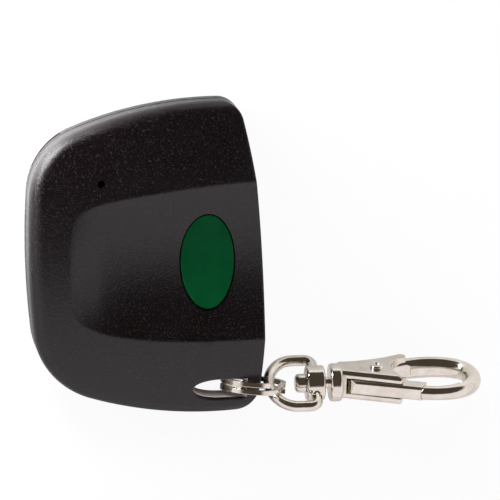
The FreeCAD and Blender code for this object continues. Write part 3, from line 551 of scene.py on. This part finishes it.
def makeRoom():
    world = bpy.data.worlds.new("room")
    bpy.context.scene.world = world
    world.use_nodes = True
    tree = world.node_tree
    tree.nodes.clear()
    out = tree.nodes.new("ShaderNodeOutputWorld")
    lit = tree.nodes.new("ShaderNodeBackground")
    seen = tree.nodes.new("ShaderNodeBackground")
    mix = tree.nodes.new("ShaderNodeMixShader")
    path = tree.nodes.new("ShaderNodeLightPath")
    coords = tree.nodes.new("ShaderNodeTexCoord")
    toward = tree.nodes.new("ShaderNodeVectorMath")
    toward.operation = "DOT_PRODUCT"
    toward.inputs[1].default_value = Vector(room["darkToward"]).normalized()
    edge = tree.nodes.new("ShaderNodeMapRange")
    edge.interpolation_type = "SMOOTHSTEP"
    edge.inputs["From Min"].default_value = math.cos(math.radians(room["darkRadius"] + room["softness"]))
    edge.inputs["From Max"].default_value = math.cos(math.radians(room["darkRadius"] - room["softness"]))
    tone = tree.nodes.new("ShaderNodeMix")
    tone.data_type = "RGBA"
    tone.inputs["A"].default_value = (*room["lit"], 1)
    tone.inputs["B"].default_value = (*room["dark"], 1)
    tree.links.new(coords.outputs["Generated"], toward.inputs[0])
    tree.links.new(toward.outputs["Value"], edge.inputs["Value"])
    tree.links.new(edge.outputs["Result"], tone.inputs["Factor"])
    tree.links.new(tone.outputs["Result"], lit.inputs["Color"])
    seen.inputs["Color"].default_value = (1, 1, 1, 1)
    seen.inputs["Strength"].default_value = room["white"]
    tree.links.new(path.outputs["Is Camera Ray"], mix.inputs["Fac"])
    tree.links.new(lit.outputs[0], mix.inputs[1])
    tree.links.new(seen.outputs[0], mix.inputs[2])
    tree.links.new(mix.outputs[0], out.inputs[0])


# lamps: place, size in mm, watts, and whether the part mirrors them. All of them aim at one point
lampAim = (0.0, 0.0, 6.0)
lamps = {
    "cornerBox": {"at": (-330, 300, 72), "size": (300, 140), "watts": 3.7, "mirrored": True},
    "cornerPool": {"at": (-38, 38, 8), "size": (12, 12), "watts": 0.12, "mirrored": False},
    "skyFill": {"at": (20, 440, 440), "size": (500, 300), "watts": 2.4, "mirrored": False},
}


def makeLamps():
    for name, lamp in lamps.items():
        data = bpy.data.lights.new(name, "AREA")
        data.shape = "RECTANGLE"
        data.size = lamp["size"][0] * mm
        data.size_y = lamp["size"][1] * mm
        data.energy = lamp["watts"]
        made = bpy.data.objects.new(name, data)
        bpy.context.scene.collection.objects.link(made)
        made.location = Vector(lamp["at"]) * mm
        made.visible_glossy = lamp["mirrored"]
        made.visible_camera = False
        back = (made.location - Vector(lampAim) * mm).normalized()
        right = Vector((-back.y, back.x, 0)).normalized()
        up = back.cross(right)
        made.rotation_mode = "QUATERNION"
        made.rotation_quaternion = Matrix((right, up, back)).transposed().to_quaternion()


# floor: paper that the camera sees white, with a faint shadow, and with painted shade where the part
# mirrors it:
# darker to the left of mirrorFrom, in mm, than to the right of mirrorTo
floorLook = {
    "half": 1500.0,
    "white": 0.9,
    "rough": 0.8,
    # painted shade: the paper's colour as the part mirrors it, left of mirrorFrom
    "mirrored": 0.42,
    "mirrorFrom": 14.0,
    "mirrorTo": 24.0,
    "shadowShare": 0.08,
}


def makeFloor():
    bpy.ops.object.select_all(action="DESELECT")
    bpy.ops.mesh.primitive_plane_add(size=2 * floorLook["half"] * mm, location=(0, 0, 0))
    floor = bpy.context.object
    floor.name = "floor"
    finish, tree, shader, coords = newFinish("floorPaper")
    shader.inputs["Roughness"].default_value = floorLook["rough"]
    path = tree.nodes.new("ShaderNodeLightPath")
    across = partsOf(tree, coords.outputs["Object"])["X"]
    low = floorLook["mirrorFrom"] * mm
    high = floorLook["mirrorTo"] * mm
    paper = tree.nodes.new("ShaderNodeMix")
    paper.inputs["A"].default_value = floorLook["white"]
    tree.links.new(path.outputs["Is Glossy Ray"], paper.inputs["Factor"])
    # painted shade: for mirrored rays the paper turns darker to the left
    mirrored = spread(tree, across, floorLook["mirrored"], floorLook["white"], low, high)
    tree.links.new(mirrored, paper.inputs["B"])
    tree.links.new(paper.outputs["Result"], shader.inputs["Base Color"])
    out = [n for n in tree.nodes if n.type == "OUTPUT_MATERIAL"][0]
    glow = tree.nodes.new("ShaderNodeEmission")
    glow.inputs["Strength"].default_value = 1.0
    seenShare = calculate(tree, "MULTIPLY", path.outputs["Is Camera Ray"], 1.0 - floorLook["shadowShare"])
    mix = tree.nodes.new("ShaderNodeMixShader")
    tree.links.new(seenShare, mix.inputs["Fac"])
    tree.links.new(shader.outputs[0], mix.inputs[1])
    tree.links.new(glow.outputs[0], mix.inputs[2])
    clear = tree.nodes.new("ShaderNodeBsdfTransparent")
    facing = tree.nodes.new("ShaderNodeNewGeometry")
    oneSided = tree.nodes.new("ShaderNodeMixShader")
    tree.links.new(facing.outputs["Backfacing"], oneSided.inputs["Fac"])
    tree.links.new(mix.outputs[0], oneSided.inputs[1])
    tree.links.new(clear.outputs[0], oneSided.inputs[2])
    tree.links.new(oneSided.outputs[0], out.inputs[0])
    floor.data.materials.append(finish)


makeRoom()
makeLamps()
makeFloor()
bpy.context.scene.view_settings.view_transform = "Standard"
print("room and lamps made")
